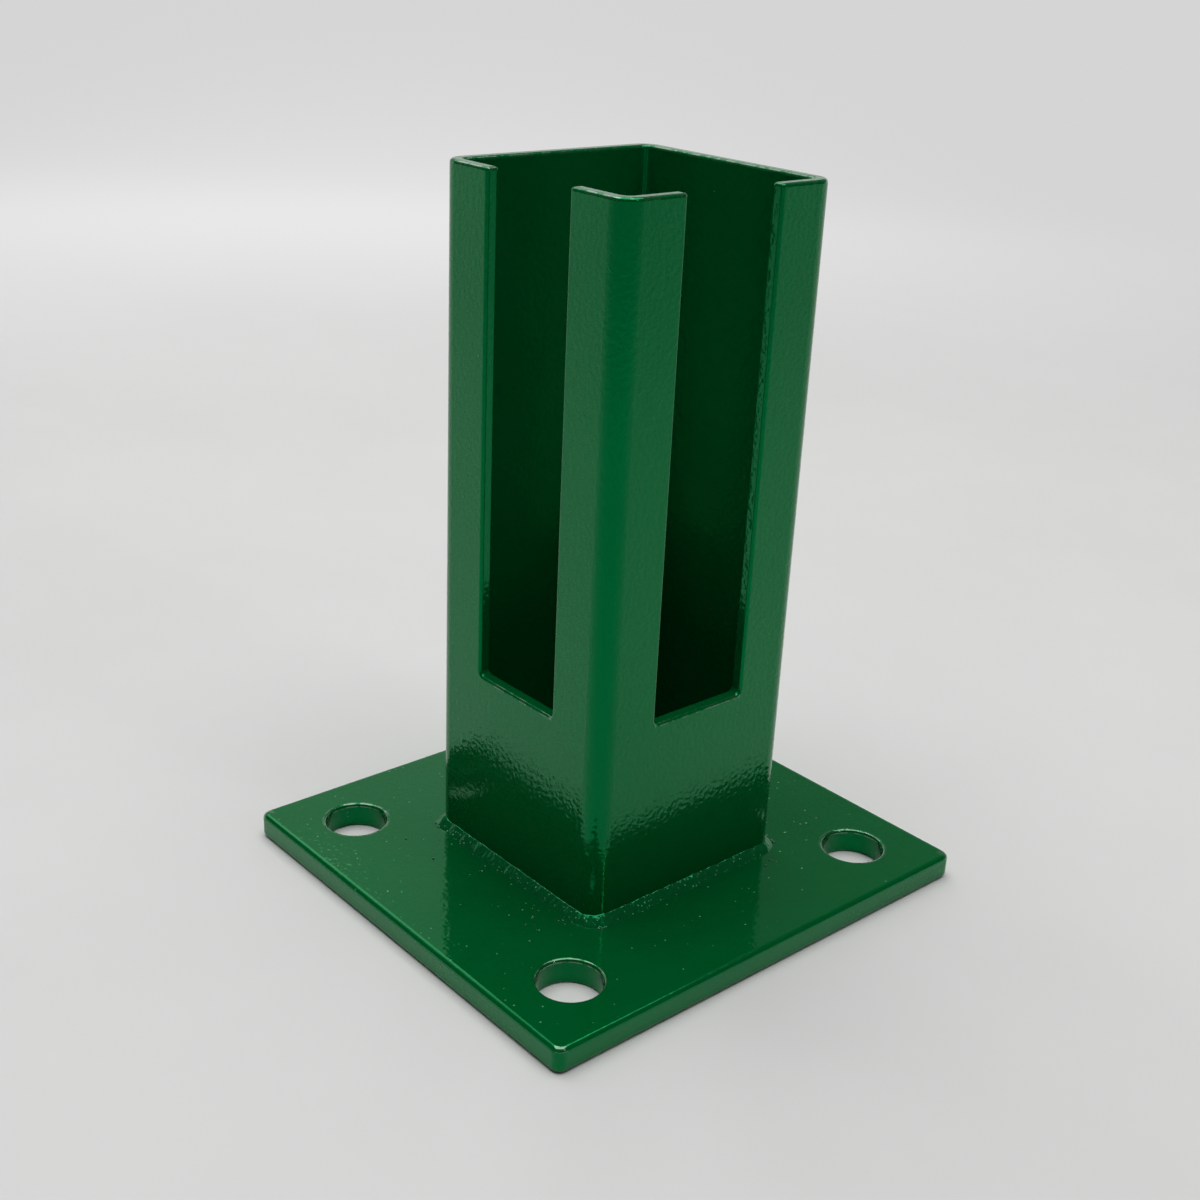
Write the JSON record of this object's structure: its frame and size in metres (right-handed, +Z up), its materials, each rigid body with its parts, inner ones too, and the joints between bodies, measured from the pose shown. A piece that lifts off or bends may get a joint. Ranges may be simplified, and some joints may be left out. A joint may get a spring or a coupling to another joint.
{
  "type": "post base plate",
  "caption": "Square socket post with two open-topped slots in neighbouring walls, welded on a flat anchor plate with corner holes.",
  "frame": {"origin": "middle of the plate's underside", "axes": "+Z up the post; -Y out of the front slotted wall, +X out of the side slotted wall"},
  "size_m": [0.15, 0.16, 0.213],
  "materials": {
    "green_powder_coat": "gloss",
    "coated_weld": "gloss"
  },
  "bodies": {
    "root": {"base_plate": "green_powder_coat", "slotted_post": "green_powder_coat", "foot_weld": "coated_weld"}
  },
  "joints": []
}
